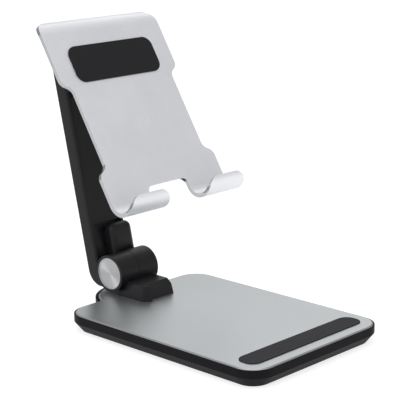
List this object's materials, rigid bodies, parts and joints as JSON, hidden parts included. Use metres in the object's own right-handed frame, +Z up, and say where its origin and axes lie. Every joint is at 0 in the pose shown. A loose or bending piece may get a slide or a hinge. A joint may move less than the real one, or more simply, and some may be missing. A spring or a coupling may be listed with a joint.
{
  "type": "phone stand",
  "caption": "Folding desk stand for a phone: weighted aluminium-topped base, friction-hinged arm and a tilting sheet-metal holder with two curled lips and a cable slot.",
  "frame": {"origin": "middle of the base's rectangular underside, where it stands on the desk", "axes": "+X across the stand, to the right of a person who faces it; +Y away from that person, towards the hinge; +Z up"},
  "size_m": [0.0814, 0.1517, 0.1303],
  "materials": {
    "holder_aluminium": "sandblasted and anodised, bright at the cut edges",
    "base_aluminium": "fine satin with a bright bevelled edge",
    "cap_aluminium": "spun, with fine rings",
    "hinge_casting": "fine-grained black paint",
    "base_plastic": "fine matt grain",
    "arm_plastic": "fine matt grain",
    "mat_rubber": "matt",
    "strip_silicone": "matt",
    "pad_silicone": "matt",
    "weight_steel": "zinc plated",
    "hinge_steel": "zinc plated",
    "spring_steel": "oiled spring steel",
    "stiffener_steel": "zinc plated",
    "screw_steel": "black oxide",
    "rivet_aluminium": "plain",
    "washer_plastic": "natural acetal",
    "washer_bronze": "plain bronze"
  },
  "bodies": {
    "base": {"base_tray": "base_plastic", "base_mat": "mat_rubber", "base_weight": "weight_steel", "base_plate": "base_aluminium", "base_grip_strip": "strip_silicone", "base_screws": "screw_steel", "base_hinge_bracket": "hinge_casting", "base_bracket_screws": "screw_steel", "lower_hinge_pin": "hinge_steel", "lower_thrust_washer": "washer_plastic", "lower_friction_washer": "washer_bronze", "lower_disc_springs": "spring_steel", "lower_lock_nut": "hinge_steel", "lower_bracket_cap": "cap_aluminium"},
    "arm": {"arm_rear_shell": "arm_plastic", "arm_front_cover": "arm_plastic", "arm_stiffener": "stiffener_steel", "arm_rivets": "rivet_aluminium", "arm_cover_screws": "screw_steel", "lower_yoke": "hinge_casting", "upper_yoke": "hinge_casting", "lower_yoke_cap": "cap_aluminium", "upper_yoke_cap": "cap_aluminium"},
    "holder": {"holder_plate": "holder_aluminium", "holder_pad": "pad_silicone", "holder_hinge_bracket": "hinge_casting", "holder_bracket_screws": "screw_steel", "upper_hinge_pin": "hinge_steel", "upper_thrust_washer": "washer_plastic", "upper_friction_washer": "washer_bronze", "upper_disc_springs": "spring_steel", "upper_lock_nut": "hinge_steel", "upper_bracket_cap": "cap_aluminium"}
  },
  "joints": [
    {"name": "arm_fold", "type": "hinge", "parent": "base", "child": "arm", "pos_m": [0, 0.0586, 0.01805], "axis": [1, 0, 0], "range_deg": [-8, 50]},
    {"name": "holder_tilt", "type": "hinge", "parent": "arm", "child": "holder", "pos_m": [0, 0.08072, 0.11865], "axis": [1, 0, 0], "range_deg": [-55, 25]}
  ]
}
